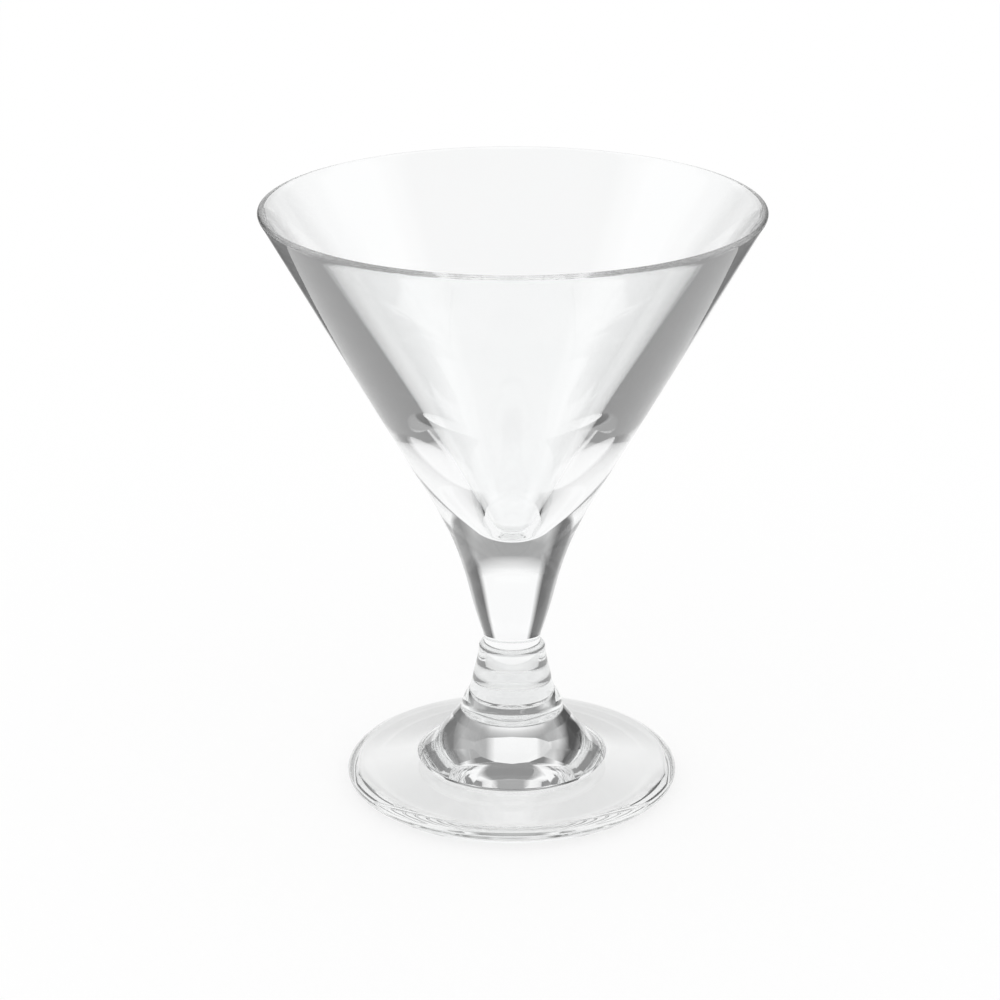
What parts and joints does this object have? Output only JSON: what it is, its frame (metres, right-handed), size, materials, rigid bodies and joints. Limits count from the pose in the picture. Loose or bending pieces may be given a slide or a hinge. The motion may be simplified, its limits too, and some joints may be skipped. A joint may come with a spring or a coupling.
{
  "type": "martini glass",
  "caption": "Small clear plastic martini glass: a thick-bottomed conical bowl on a solid stem with a ringed collar and a dome, whose spigot sits in a round foot plate.",
  "frame": {"origin": "on the glass's axis, in the plane that the foot stands on", "axes": "+Z along the axis, up from the foot to the rim; the glass is turned, so X and Y are alike"},
  "size_m": [0.0842, 0.0842, 0.1037],
  "materials": {
    "foot_plastic": "clear, polished",
    "bowl_plastic": "clear, polished"
  },
  "bodies": {
    "foot": {"foot": "foot_plastic"},
    "bowl": {"bowl_and_stem": "bowl_plastic"}
  },
  "joints": [
    {"name": "stem_pull", "type": "slide", "parent": "foot", "child": "bowl", "axis": [0, 0, 1], "range_m": [0, 0.008]}
  ]
}
